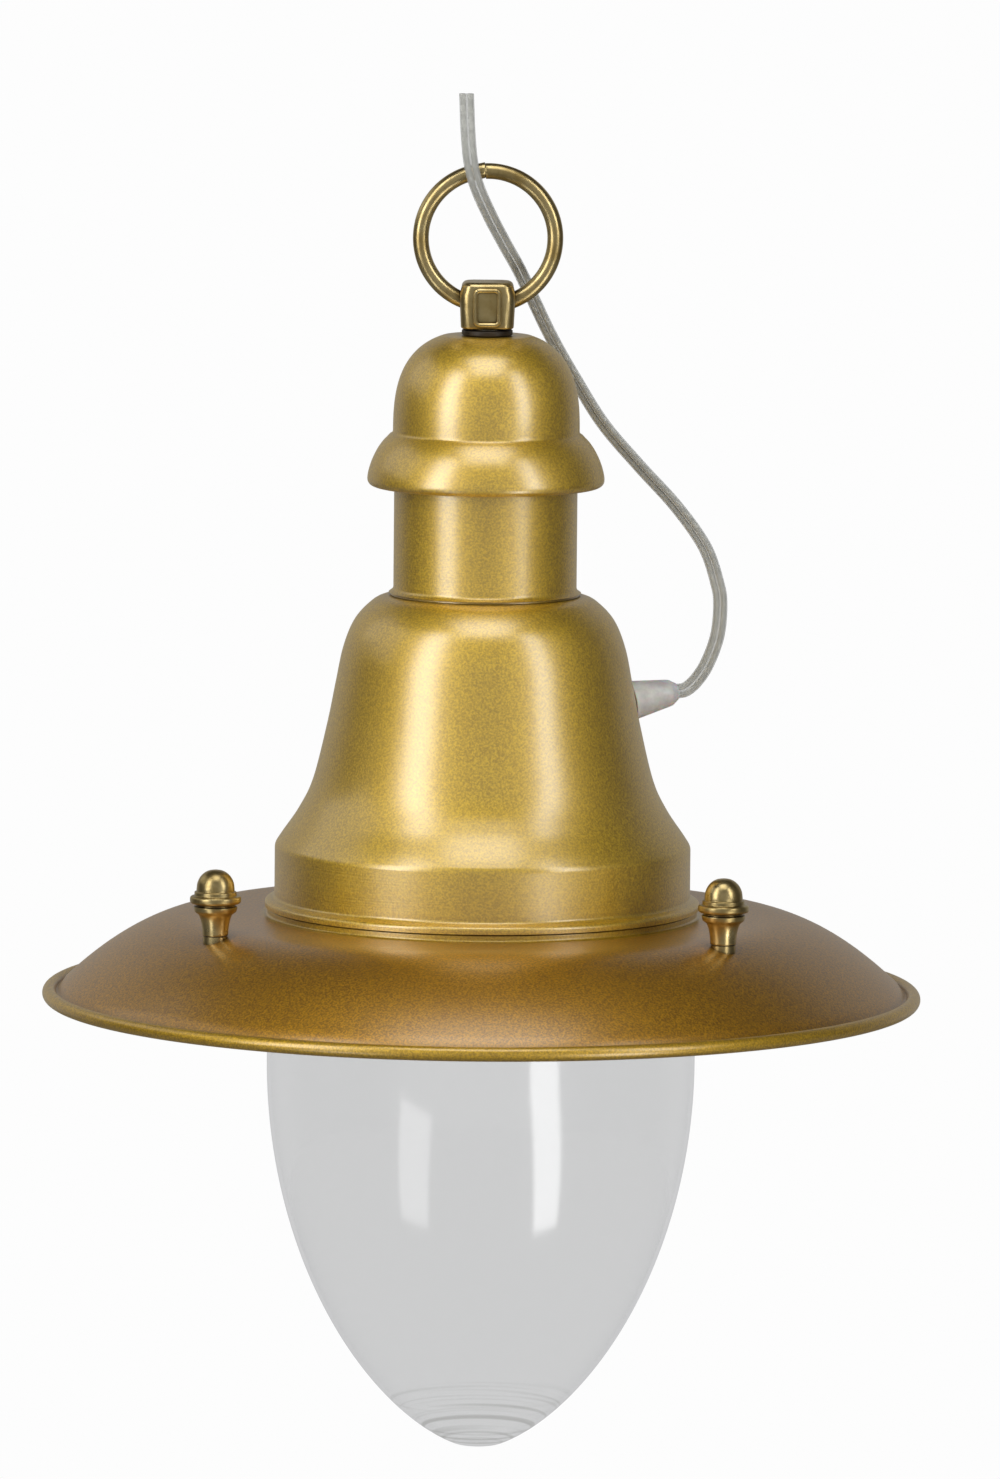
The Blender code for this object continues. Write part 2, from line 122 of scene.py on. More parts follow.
def camera():
    """A long lens well back and a little above the lantern, turned a hair to the left."""
    data = bpy.data.cameras.new("camera")
    data.lens = 370.4
    data.sensor_width = 36.0
    data.clip_end = 60.0
    made = bpy.data.objects.new("camera", data)
    bpy.context.scene.collection.objects.link(made)
    aim = Vector((0.0069, 0.0, -0.236))
    elevation = math.radians(6.8)
    distance = 6.4
    roll = Quaternion((0, 0, 1), 0.0091)
    back = Vector((0.0, -math.cos(elevation), math.sin(elevation)))
    made.location = aim + back * distance
    made.rotation_mode = "QUATERNION"
    made.rotation_quaternion = back.to_track_quat("Z", "Y") @ roll
    bpy.context.scene.camera = made


def softbox(name, azimuth, elevation, distance, size, radiance, lean=0.0):
    """A flat light that faces the lantern's middle. Azimuth 0 is the front, and grows to the right."""
    data = bpy.data.lights.new(name, "AREA")
    data.shape = "RECTANGLE"
    data.size, data.size_y = size
    data.energy = radiance * math.pi * size[0] * size[1]
    made = bpy.data.objects.new(name, data)
    bpy.context.scene.collection.objects.link(made)
    turn, rise = math.radians(azimuth), math.radians(elevation)
    out = Vector((math.sin(turn) * math.cos(rise), -math.cos(turn) * math.cos(rise), math.sin(rise)))
    middle = Vector((0, 0, (BELL_LOW.z + BELL_HIGH.z) / 2 * MM))
    made.location = middle + out * distance
    made.rotation_mode = "QUATERNION"
    made.rotation_quaternion = out.to_track_quat("Z", "Y") @ Quaternion((0, 0, 1), math.radians(lean))
    made.visible_camera = False
    return made


def strip(name, azimuth, foot, head, distance, width, radiance, lean=0.0):
    """A strip light between two heights, upright or leaning sideways."""
    made = softbox(name, azimuth, 0.0, distance, (width, head - foot), radiance, lean)
    made.location.z = (foot + head) / 2


# How bright the room is in what the lantern mirrors
ROOM_SIDE = 0.04
ROOM_AHEAD = 0.33
ROOM_BEHIND = 0.36
FLOOR_Z = -9.0
FLOOR_RADIUS = 30.0
STRIP_DISTANCE = 1.2


def node(tree, kind, links=(), **values):
    """A node with its inputs set or linked by name or number."""
    made = tree.nodes.new(kind)
    for key, value in values.items():
        setattr(made, key, value)
    for key, value in links:
        if isinstance(value, bpy.types.NodeSocket):
            tree.links.new(value, made.inputs[key])
        else:
            made.inputs[key].default_value = value
    return made


def eased(tree, value, start, end, low, high):
    """A smooth step from one level to another, between two values."""
    links = [("Value", value), ("From Min", start), ("From Max", end), ("To Min", low), ("To Max", high)]
    return node(tree, "ShaderNodeMapRange", links, interpolation_type="SMOOTHSTEP").outputs["Result"]


def surroundings():
    """White where the camera looks at it, and a dimmer room in what the lantern mirrors."""
    world = bpy.data.worlds.new("studio")
    bpy.context.scene.world = world
    world.use_nodes = True
    tree = world.node_tree
    backdrop = tree.nodes["Background"]
    backdrop.inputs["Color"].default_value = (0.982, 0.982, 0.982, 1)
    where = node(tree, "ShaderNodeTexCoord").outputs["Generated"]
    split = node(tree, "ShaderNodeSeparateXYZ", [(0, where)])
    behind = eased(tree, split.outputs["Y"], 0.30, 0.80, 0.0, ROOM_BEHIND)
    ahead = eased(tree, split.outputs["Y"], -0.45, -0.95, ROOM_SIDE, ROOM_AHEAD)
    level = eased(tree, split.outputs["Z"], 0.74, 0.46, 0.0, 1.0)
    around = node(tree, "ShaderNodeMath", [(0, behind), (1, ahead)], operation="ADD")
    links = [(0, around.outputs[0]), (1, level), (2, ROOM_SIDE)]
    strength = node(tree, "ShaderNodeMath", links, operation="MULTIPLY_ADD")
    room = node(tree, "ShaderNodeBackground", [("Strength", strength.outputs[0])])
    rays = node(tree, "ShaderNodeLightPath").outputs["Is Camera Ray"]
    choose = node(tree, "ShaderNodeMixShader", [(0, rays), (1, room.outputs[0]), (2, backdrop.outputs[0])])
    tree.links.new(choose.outputs[0], tree.nodes["World Output"].inputs["Surface"])


def floor():
    """A plain pale floor, well below the hanging lantern."""
    shape = bmesh.new()
    bmesh.ops.create_circle(shape, cap_ends=True, segments=96, radius=FLOOR_RADIUS)
    mesh = bpy.data.meshes.new("floor")
    shape.to_mesh(mesh)
    shape.free()
    made = bpy.data.objects.new("floor", mesh)
    bpy.context.scene.collection.objects.link(made)
    made.location.z = FLOOR_Z
    paint = bpy.data.materials.new("floor")
    paint.use_nodes = True
    shader = paint.node_tree.nodes["Principled BSDF"]
    shader.inputs["Base Color"].default_value = (0.86, 0.86, 0.85, 1)
    shader.inputs["Roughness"].default_value = 0.8
    shader.inputs["Emission Color"].default_value = (0.9, 0.9, 0.9, 1)
    tree = paint.node_tree
    rays = node(tree, "ShaderNodeLightPath").outputs["Is Camera Ray"]
    glow = node(tree, "ShaderNodeMapRange", [("Value", rays), ("To Min", 0.08), ("To Max", 0.62)])
    tree.links.new(glow.outputs["Result"], shader.inputs["Emission Strength"])
    made.data.materials.append(paint)


def studio():
    """Four strip lights in front, a large box overhead and a dim panel at the left."""
    surroundings()
    floor()
    strip("left_high", -48, -0.30, 1.30, STRIP_DISTANCE, 0.46, 3.4)
    strip("right_high", 47, -0.20, 1.30, STRIP_DISTANCE, 0.28, 3.5)
    strip("left_low", -37, -1.22, -0.60, STRIP_DISTANCE, 0.36, 1.7, -14)
    strip("right_low", 37, -1.26, -0.42, STRIP_DISTANCE, 0.32, 3.5, 14)
    softbox("overhead", 0, 68, 1.5, (0.9, 0.9), 2.2)
    softbox("panel_left", -105, 30, 2.0, (1.6, 1.0), 0.5)
    bpy.context.scene.view_settings.view_transform = "Standard"


# ---------------------------------------------------------------- outlines


def spun(arm, angle):
    """A flat vector turned by an angle in radians."""
    return Vector(
        (
            arm.x * math.cos(angle) - arm.y * math.sin(angle),
            arm.x * math.sin(angle) + arm.y * math.cos(angle),
        )
    )


def rounded(corners, bend=12.0):
    """An outline through (radius, height, fillet) corners, each turned by an arc of its fillet radius."""
    out = []
    for n, (x, y, fillet) in enumerate(corners):
        here = Vector((x, y))
        if n in (0, len(corners) - 1) or not fillet:
            out.append(here)
            continue
        before = Vector(corners[n - 1][:2]) - here
        after = Vector(corners[n + 1][:2]) - here
        half = before.angle(after) / 2
        reach = min(fillet / math.tan(half), before.length * 0.49, after.length * 0.49)
        start = here + before.normalized() * reach
        end = here + after.normalized() * reach
        middle = here + (before.normalized() + after.normalized()).normalized() * reach / math.cos(half)
        arm, goal = start - middle, end - middle
        turn = math.atan2(arm.x * goal.y - arm.y * goal.x, arm.dot(goal))
        steps = max(2, math.ceil(abs(math.degrees(turn)) / bend))
        out += [middle + spun(arm, turn * k / steps) for k in range(steps + 1)]
    return out


def arc(middle, radius, start, end, steps):
    """Points on a circle between two angles in degrees."""
    out = []
    for n in range(steps + 1):
        a = math.radians(start + (end - start) * n / steps)
        out.append(Vector((middle[0] + radius * math.cos(a), middle[1] + radius * math.sin(a))))
    return out


def through(points, count):
    """Evenly spaced points on a Catmull-Rom curve through the given ones."""
    points = [Vector(p) for p in points]
    ends = [points[0] * 2 - points[1], *points, points[-1] * 2 - points[-2]]
    fine = []
    for a, b, c, d in zip(ends, ends[1:], ends[2:], ends[3:]):
        for step in range(40):
            t = step / 40
            square = (a * 2 - b * 5 + c * 4 - d) * t * t
            cube = (b * 3 - a - c * 3 + d) * t**3
            fine.append((b * 2 + (c - a) * t + square + cube) * 0.5)
    fine.append(points[-1])
    run = [0.0]
    for a, b in zip(fine, fine[1:]):
        run.append(run[-1] + (b - a).length)
    even = []
    index = 0
    for n in range(count):
        want = run[-1] * n / (count - 1)
        while index < len(run) - 2 and run[index + 1] < want:
            index += 1
        share = (want - run[index]) / (run[index + 1] - run[index])
        even.append(fine[index].lerp(fine[index + 1], share))
    return even


def shell_section(outline, wall):
    """The closed section of a shell: the outline, a round lip, and the same line moved inwards."""
    points = [Vector(p) for p in outline]
    inner = []
    for n, here in enumerate(points):
        back = (here - points[n - 1]).normalized() if n else None
        ahead = (points[n + 1] - here).normalized() if n < len(points) - 1 else None
        runs = [d for d in (back, ahead) if d is not None]
        sides = [Vector((d.y, -d.x)) for d in runs]
        side = sum(sides, Vector((0, 0))).normalized()
        inner.append(here + side * wall / max(0.5, side.dot(sides[0])))
    first, last = points[0], points[-1]
    return points + lip(last, inner[-1]) + inner[::-1] + lip(inner[0], first)


def lip(start, end):
    """A half circle from one point to another, to the left of the line between them."""
    middle = (start + end) / 2
    return [middle + spun(start - middle, math.pi * n / 6) for n in range(1, 6)]


# ---------------------------------------------------------------- meshes


def solid(name, shape, sharp=CREASE):
    """A mesh object from a bmesh, faces out, round where its faces nearly agree."""
    bmesh.ops.remove_doubles(shape, verts=shape.verts, dist=0.000002)
    bmesh.ops.recalc_face_normals(shape, faces=shape.faces)
    mesh = bpy.data.meshes.new(name)
    shape.to_mesh(mesh)
    shape.free()
    mesh.shade_smooth()
    mesh.set_sharp_from_angle(angle=math.radians(sharp))
    made = bpy.data.objects.new(name, mesh)
    bpy.context.scene.collection.objects.link(made)
    return made


def turned(name, outline, steps=LARGE, closed=True, at=(0, 0)):
    """A solid of revolution about Z through (x, y), from a closed section or from axis to axis."""
    shape = bmesh.new()
    rows = []
    for r, z in outline:
        if r < 0.001:
            rows.append([shape.verts.new((at[0] * MM, at[1] * MM, z * MM))])
            continue
        row = []
        for n in range(steps):
            a = 2 * math.pi * n / steps
            where = (at[0] + r * math.cos(a), at[1] + r * math.sin(a), z)
            row.append(shape.verts.new(Vector(where) * MM))
        rows.append(row)
    pairs = list(zip(rows, rows[1:]))
    if closed:
        pairs.append((rows[-1], rows[0]))
    for upper, lower in pairs:
        for n in range(steps):
            m = (n + 1) % steps
            face = [upper[n % len(upper)], lower[n % len(lower)], lower[m % len(lower)], upper[m % len(upper)]]
            corners = list(dict.fromkeys(face))
            if len(corners) > 2:
                shape.faces.new(corners)
    return solid(name, shape)


def loft(name, rings, sharp=CREASE):
    """A solid through rings of points, with flat ends."""
    shape = bmesh.new()
    rows = [[shape.verts.new(Vector(p) * MM) for p in ring] for ring in rings]
    for a, b in zip(rows, rows[1:]):
        for n in range(len(a)):
            m = (n + 1) % len(a)
            shape.faces.new((a[n], a[m], b[m], b[n]))
    shape.faces.new(rows[0])
    shape.faces.new(rows[-1])
    return solid(name, shape, sharp)


def loop_of(name, rings):
    """A solid from closed rings of points in a closed loop, like a tyre."""
    shape = bmesh.new()
    rows = [[shape.verts.new(Vector(p) * MM) for p in ring] for ring in rings]
    for n, row in enumerate(rows):
        following = rows[(n + 1) % len(rows)]
        for m in range(len(row)):
            j = (m + 1) % len(row)
            shape.faces.new((row[m], following[m], following[j], row[j]))
    return solid(name, shape)


def carve(obj, tool, how="DIFFERENCE"):
    """Cuts a tool out of a piece, or joins it on, and removes the tool."""
    made = obj.modifiers.new("carve", "BOOLEAN")
    made.operation = how
    made.solver = "EXACT"
    made.object = tool
    bpy.context.view_layer.update()
    graph = bpy.context.evaluated_depsgraph_get()
    mesh = bpy.data.meshes.new_from_object(obj.evaluated_get(graph))
    obj.modifiers.clear()
    obj.data = mesh
    mesh.shade_smooth()
    mesh.set_sharp_from_angle(angle=math.radians(32))
    bpy.data.objects.remove(tool)


def plan(half_x, half_y, corner, z, each=10):
    """A level ring: a rectangle with round corners."""
    out = []
    for side_x, side_y, start in ((1, 1, 0), (-1, 1, 90), (-1, -1, 180), (1, -1, 270)):
        for n in range(each + 1):
            a = math.radians(start + 90 * n / each)
            x = side_x * (half_x - corner) + corner * math.cos(a)
            y = side_y * (half_y - corner) + corner * math.sin(a)
            out.append(Vector((x, y, z)))
    return out


def put(obj, body, slot, paint, *nodes):
    """Gives a piece its material and body, and hides the CAD nodes that it stands for. Its slot is not used."""
    obj.data.materials.clear()
    obj.data.materials.append(paint)
    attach(obj, body)
    if nodes:
        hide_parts(*nodes)
    return obj


# ---------------------------------------------------------------- materials


class Paint:
    """A material round one Principled BSDF, with short calls for its nodes."""

    def __init__(self, name, **values):
        self.material = bpy.data.materials.new(name)
        self.material.use_nodes = True
        self.tree = self.material.node_tree
        self.shader = self.tree.nodes["Principled BSDF"]
        where = self.tree.nodes.new("ShaderNodeTexCoord")
        self.where = where.outputs["Object"]
        for key, value in values.items():
            self.set(key.replace("_", " "), value)

    def set(self, socket, value):
        """A fixed value, or the output of another node, on one of the shader's sockets."""
        target = self.shader.inputs[socket]
        if isinstance(value, bpy.types.NodeSocket):
            self.tree.links.new(value, target)
        else:
            target.default_value = (*value, 1.0) if isinstance(value, tuple) and len(value) == 3 else value

    def node(self, kind, links=(), **values):
        """A node of this material."""
        return node(self.tree, kind, links, **values)

    def noise(self, scale, detail=3.0, stretch=(1, 1, 1)):
        """Cloudy noise, 0 to 1, by position on the piece."""
        place = self.node("ShaderNodeMapping", [("Vector", self.where), ("Scale", stretch)])
        inputs = [("Vector", place.outputs[0]), ("Scale", scale), ("Detail", detail), ("Roughness", 0.55)]
        return self.node("ShaderNodeTexNoise", inputs).outputs["Fac"]

    def span(self, value, low, high, to_low=0.0, to_high=1.0):
        """A value's share between two others, kept between them, as a new range."""
        inputs = [("Value", value), ("From Min", low), ("From Max", high)]
        inputs += [("To Min", to_low), ("To Max", to_high)]
        return self.node("ShaderNodeMapRange", inputs).outputs["Result"]

    def mix(self, share, first, second):
        """One colour over another."""
        made = self.node("ShaderNodeMix", data_type="RGBA")
        for socket, value in ((0, share), (6, first), (7, second)):
            if isinstance(value, bpy.types.NodeSocket):
                self.tree.links.new(value, made.inputs[socket])
            elif socket == 0:
                made.inputs[0].default_value = value
            else:
                made.inputs[socket].default_value = (*value, 1.0)
        return made.outputs[2]

    def maths(self, how, first, second):
        """Two values added, multiplied and so on."""
        made = self.node("ShaderNodeMath", [(0, first), (1, second)], operation=how)
        return made.outputs[0]

    def height(self):
        """Height up the lantern, in metres."""
        return self.node("ShaderNodeSeparateXYZ", [(0, self.where)]).outputs["Z"]

    def reach(self):
        """Distance from the lantern's axis, in metres."""
        parts = self.node("ShaderNodeSeparateXYZ", [(0, self.where)])
        level = self.node("ShaderNodeCombineXYZ", [(0, parts.outputs["X"]), (1, parts.outputs["Y"])])
        return self.node("ShaderNodeVectorMath", [(0, level.outputs[0])], operation="LENGTH").outputs["Value"]

    def hollows(self, reach):
        """0 in the open and 1 deep in a recess, by ambient occlusion: the mask for painted shade in recesses."""
        inputs = [("Distance", reach)]
        shut = self.node("ShaderNodeAmbientOcclusion", inputs, samples=8)
        return self.span(shut.outputs["AO"], 0.95, 0.35)

    def bump(self, height, depth, strength=1.0, over=None):
        """A raised surface from a height, over another bump if given."""
        inputs = [("Height", height), ("Distance", depth), ("Strength", strength)]
        if over is not None:
            inputs.append(("Normal", over))
        return self.node("ShaderNodeBump", inputs).outputs[0]


# The shade's gold carries a painted brown reflection from the first of these distances from the axis outwards,
# mostly fading past the second; in metres
COLLAR_EDGE = (0.0915, 0.0940)
RIM_EDGE = (0.1785, 0.1800)

LIGHT_GOLD = (1.00, 0.71, 0.040)
DARK_GOLD = (0.64, 0.385, 0.009)
LIGHT_REFLECTION_BROWN = (0.82, 0.445, 0.008)
DARK_REFLECTION_BROWN = (0.37, 0.170, 0.002)


def gold_paint(name, lines=0.0, line_top=10.0, reflection_brown=False):
    """Satin metallic gold over spun steel, with a fine speckle, painted shade in its creases, and turned lines below
    a height.

    A shade's paint is browner between its collar and its rim: a painted dim reflection over the same gold.
    """
    paint = Paint(name, Metallic=1.0)
    speckle = paint.noise(1150, 3.0)
    drift = paint.noise(14, 3.0)
    light, dark = LIGHT_GOLD, DARK_GOLD
    # painted reflection: from the collar outwards the gold turns browner, as the shade's top mirrors the dim room
    # and the bell; most of it fades at the rim
    if reflection_brown:
        outside = paint.span(paint.reach(), *COLLAR_EDGE)
        reflection_share = paint.maths("SUBTRACT", outside, paint.span(paint.reach(), *RIM_EDGE, 0.0, 0.7))
        light, dark = paint.mix(reflection_share, LIGHT_GOLD, LIGHT_REFLECTION_BROWN), paint.mix(reflection_share, DARK_GOLD, DARK_REFLECTION_BROWN)
    body = paint.mix(paint.span(speckle, 0.36, 0.64), dark, light)
    body = paint.mix(paint.span(drift, 0.30, 0.72, 0.0, 0.30), body, dark)
    # painted shade: the gold darkens in creases and recesses, where shade falls
    body = paint.mix(paint.maths("MULTIPLY", paint.hollows(0.004), 0.65), body, (0.13, 0.065, 0.004))
    paint.set("Base Color", body)
    paint.set("Roughness", paint.span(speckle, 0.3, 0.7, 0.50, 0.62))
    paint.set("Coat Weight", 1.0)
    paint.set("Coat Roughness", 0.29)
    paint.set("Coat IOR", 2.0 if reflection_brown else 2.5)
    grain = paint.bump(speckle, 0.00008, 0.5)
    if lines:
        rings = paint.noise(1.0, 2.0, (3.0, 3.0, 1150.0))
        below = paint.span(paint.height(), line_top + 0.001, line_top - 0.001, 0.0, lines)
        turned_lines = paint.maths("MULTIPLY", rings, below)
        grain = paint.bump(turned_lines, 0.00022, 1.0, grain)
    paint.set("Normal", grain)
    return paint.material


def antique_brass(name, hammered=0.0):
    """Polished brass that stays dark in its recesses: partly patina where a cloth doesn't reach, partly painted
    shade.
    """
    paint = Paint(name, Metallic=1.0)
    tarnish = paint.noise(110, 4.0)
    fine = paint.noise(420, 3.0)
    body = paint.mix(paint.span(tarnish, 0.35, 0.70), (0.68, 0.54, 0.26), (0.42, 0.30, 0.11))
    body = paint.mix(paint.span(fine, 0.60, 0.80, 0.0, 0.35), body, (0.22, 0.13, 0.04))
    # darker in recesses: partly the antique finish's patina, partly painted shade
    body = paint.mix(paint.maths("MULTIPLY", paint.hollows(0.0034), 0.95), body, (0.045, 0.024, 0.006))
    paint.set("Base Color", body)
    paint.set("Roughness", paint.span(tarnish, 0.3, 0.75, 0.25, 0.38))
    surface = paint.bump(fine, 0.00003, 0.15)
    if hammered:
        dents = paint.noise(240, 1.0)
        surface = paint.bump(dents, 0.0004, hammered, surface)
    paint.set("Normal", surface)
    return paint.material


def turned_brass():
    """Bright brass with turning marks."""
    paint = Paint("turned_brass", Metallic=1.0)
    rings = paint.noise(1.0, 2.0, (4, 4, 1600))
    cloud = paint.noise(60, 3.0)
    paint.set("Base Color", paint.mix(paint.span(cloud, 0.3, 0.7), (0.78, 0.60, 0.28), (0.66, 0.49, 0.21)))
    paint.set("Roughness", paint.span(rings, 0.3, 0.7, 0.18, 0.34))
    paint.set("Normal", paint.bump(rings, 0.00006, 0.5))
    return paint.material


def dark_steel():
    """Blackened steel, a little uneven."""
    paint = Paint("dark_steel", Metallic=0.3)
    cloud = paint.noise(220, 4.0)
    paint.set("Base Color", paint.mix(paint.span(cloud, 0.3, 0.7), (0.018, 0.013, 0.009), (0.05, 0.035, 0.02)))
    paint.set("Roughness", paint.span(cloud, 0.3, 0.7, 0.35, 0.55))
    paint.set("Normal", paint.bump(cloud, 0.0001, 0.4))
    return paint.material


def zinc_steel():
    """Zinc plate: a fine crystal speckle with a faint yellow drift."""
    paint = Paint("zinc_steel", Metallic=1.0)
    crystals = paint.node("ShaderNodeTexVoronoi", [("Vector", paint.where), ("Scale", 700.0)])
    drift = paint.noise(40, 3.0)
    body = paint.mix(paint.span(drift, 0.3, 0.7), (0.62, 0.62, 0.60), (0.56, 0.55, 0.48))
    paint.set("Base Color", body)
    paint.set("Roughness", paint.span(crystals.outputs["Distance"], 0.0, 0.7, 0.30, 0.46))
    paint.set("Normal", paint.bump(crystals.outputs["Distance"], 0.00005, 0.3))
    return paint.material


def rubber():
    """Matt black rubber with a fine grain."""
    paint = Paint("black_rubber", Roughness=0.72)
    grain = paint.noise(900, 3.0)
    paint.set("Base Color", paint.mix(paint.span(grain, 0.3, 0.7), (0.022, 0.022, 0.023), (0.045, 0.045, 0.046)))
    paint.set("Normal", paint.bump(grain, 0.0001, 0.5))
    return paint.material


def nylon():
    """Natural moulded nylon, slightly cloudy."""
    paint = Paint("natural_nylon", Roughness=0.42)
    cloud = paint.noise(90, 3.0)
    paint.set("Base Color", paint.mix(paint.span(cloud, 0.3, 0.7), (0.66, 0.64, 0.58), (0.55, 0.53, 0.47)))
    paint.set("Subsurface Weight", 0.15)
    paint.set("Subsurface Scale", 0.002)
    paint.set("Normal", paint.bump(paint.noise(700, 2.0), 0.00008, 0.3))
    return paint.material


def milky_plastic():
    """A translucent bush with cloudy patches."""
    paint = Paint("milky_plastic", Roughness=0.34, Alpha=0.93)
    cloud = paint.noise(210, 4.0)
    paint.set("Base Color", paint.mix(paint.span(cloud, 0.35, 0.68), (0.70, 0.705, 0.70), (0.90, 0.90, 0.89)))
    paint.set("Subsurface Weight", 0.5)
    paint.set("Subsurface Scale", 0.003)
    paint.set("Normal", paint.bump(cloud, 0.0003, 0.4))
    return paint.material


def ceramic():
    """Glazed white porcelain with tiny specks."""
    paint = Paint("glazed_porcelain", Roughness=0.16)
    specks = paint.span(paint.noise(800, 1.0), 0.70, 0.78)
    paint.set("Base Color", paint.mix(specks, (0.80, 0.77, 0.70), (0.38, 0.30, 0.20)))
    paint.set("Coat Weight", 0.6)
    paint.set("Coat Roughness", 0.05)
    paint.set("Normal", paint.bump(paint.noise(70, 2.0), 0.0003, 0.25))
    return paint.material


def tinned_strands():
    """Tinned copper strands, a little olive under the sheath."""
    paint = Paint("tinned_strands", Metallic=0.75, Roughness=0.38)
    streak = paint.noise(500, 3.0)
    paint.set("Base Color", paint.mix(paint.span(streak, 0.3, 0.7), (0.62, 0.61, 0.55), (0.42, 0.41, 0.35)))
    paint.set("Normal", paint.bump(streak, 0.00008, 0.2))
    return paint.material


def flex_sheath_plastic():
    """Clear plasticised sheath, a little grey with wear."""
    paint = Paint("clear_sheath", Roughness=0.14, Alpha=0.52)
    cloud = paint.noise(120, 3.0)
    paint.set("Base Color", paint.mix(paint.span(cloud, 0.3, 0.7), (0.80, 0.81, 0.77), (0.68, 0.69, 0.65)))
    paint.set("Normal", paint.bump(paint.noise(260, 1.0), 0.0003, 0.2))
    return paint.material


def see_through(name, tint, edge, mirror, tip=None):
    """Clear glass that tints what lies behind it, a little darker towards its edges as painted shade, and mirrors
    more towards its edges.

    Its outer face carries the colour, with faint dark rings painted just above the tip for the light that the thick
    glass there bends.
    """
    material = bpy.data.materials.new(name)
    material.use_nodes = True
    tree = material.node_tree
    tree.nodes.remove(tree.nodes["Principled BSDF"])
    white = (1, 1, 1, 1)
    refraction_ring_tone = (0.60, 0.60, 0.59, 1)
    rings_from, rings_full = 0.022, 0.008  # heights above the tip, in metres

    facing = node(tree, "ShaderNodeLayerWeight", [("Blend", 0.5)])
    rim = node(tree, "ShaderNodeMath", [(0, facing.outputs["Facing"]), (1, 6.0)], operation="POWER")
    # painted shade: the glass's colour darkens a little where it is seen edge-on, standing in for refraction at its
    # edges
    shade = node(tree, "ShaderNodeMix", [(0, rim.outputs[0]), (6, (*tint, 1)), (7, (*edge, 1))], data_type="RGBA")
    where = node(tree, "ShaderNodeTexCoord").outputs["Object"]
    colour = shade.outputs[2]
    # painted refraction: faint dark rings just above the tip, where the thick glass bends the light
    if tip is not None:
        place = node(tree, "ShaderNodeMapping", [("Vector", where), ("Scale", (8.0, 8.0, 620.0))])
        bands = node(tree, "ShaderNodeTexNoise", [("Vector", place.outputs[0]), ("Scale", 1.0), ("Detail", 1.0)])
        links = [("Value", bands.outputs["Fac"]), ("From Min", 0.50), ("From Max", 0.70)]
        lines = node(tree, "ShaderNodeMapRange", links)
        height = node(tree, "ShaderNodeSeparateXYZ", [(0, where)]).outputs["Z"]
        links = [("Value", height), ("From Min", tip + rings_from), ("From Max", tip + rings_full)]
        near = node(tree, "ShaderNodeMapRange", links)
        share = node(tree, "ShaderNodeMath", [(0, lines.outputs[0]), (1, near.outputs[0])], operation="MULTIPLY")
        links = [(0, share.outputs[0]), (6, colour), (7, refraction_ring_tone)]
        colour = node(tree, "ShaderNodeMix", links, data_type="RGBA").outputs[2]
    clear = node(tree, "ShaderNodeBsdfTransparent", [("Color", colour)])
    noise = node(tree, "ShaderNodeTexNoise", [("Vector", where), ("Scale", 22.0), ("Detail", 1.0)])
    links = [("Distance", 0.0006), ("Strength", 0.12), ("Height", noise.outputs["Fac"])]
    waves = node(tree, "ShaderNodeBump", links)
    links = [("Color", white), ("Roughness", 0.105), ("Normal", waves.outputs[0])]
    gloss = node(tree, "ShaderNodeBsdfGlossy", links)
    low, high = mirror
    amount = node(tree, "ShaderNodeMapRange", [("Value", rim.outputs[0]), ("To Min", low), ("To Max", high)])
    behind = node(tree, "ShaderNodeNewGeometry").outputs["Backfacing"]
    front = node(tree, "ShaderNodeMath", [(0, 1.0), (1, behind)], operation="SUBTRACT")
    share = node(tree, "ShaderNodeMath", [(0, amount.outputs[0]), (1, front.outputs[0])], operation="MULTIPLY")
    both = node(tree, "ShaderNodeMixShader", [(0, share.outputs[0]), (1, clear.outputs[0]), (2, gloss.outputs[0])])
    tree.links.new(both.outputs[0], tree.nodes["Material Output"].inputs["Surface"])
    return material


# ---------------------------------------------------------------- pieces


def ring_wire(paint):
    """Round wire bent into a ring. Its two ends butt just left of the top, one a hair proud."""
    middle = (RING_LOW.z + RING_HIGH.z) / 2
    wire = (RING_HIGH.y - RING_LOW.y) / 2
    radius = (RING_HIGH.z - RING_LOW.z) / 2 - wire
    joint = math.radians(92.7)
    gap = 0.012 / radius
    edge = 0.30
    steps = 240
    sides = 28
    stations = [(0.0, wire - edge), (edge * 0.3 / radius, wire - edge * 0.3), (edge / radius, wire)]
    span = 2 * math.pi - 2 * gap
    inner = [span * n / steps for n in range(2, steps - 1)]
    runs = stations + [(a, wire) for a in inner] + [(span - a, r) for a, r in reversed(stations)]
    rings = []
    for along, thick in runs:
        a = joint + gap + along
        proud = 0.45 * max(0.0, 1 - along / 0.16) ** 2
        centre = Vector((math.cos(a), 0, math.sin(a))) * (radius + proud)
        ring = []
        for n in range(sides):
            b = 2 * math.pi * n / sides
            offset = Vector((math.cos(a) * math.cos(b), math.sin(b), math.sin(a) * math.cos(b))) * thick
            ring.append(centre + offset + Vector((0, 0, middle)))
        rings.append(ring)
    put(loft("ring_wire", rings), "ring", "antique_brass", paint, "hanging_ring")


def torus_tool(radius, thick, z):
    """An upright ring about Y, to cut the holder's hole with."""
    rings = []
    for n in range(96):
        a = 2 * math.pi * n / 96
        ring = []
        for m in range(24):
            b = 2 * math.pi * m / 24
            r = radius + thick * math.cos(b)
            ring.append((r * math.cos(a), thick * math.sin(b), z + r * math.sin(a)))
        rings.append(ring)
    return loop_of("torus_tool", rings)


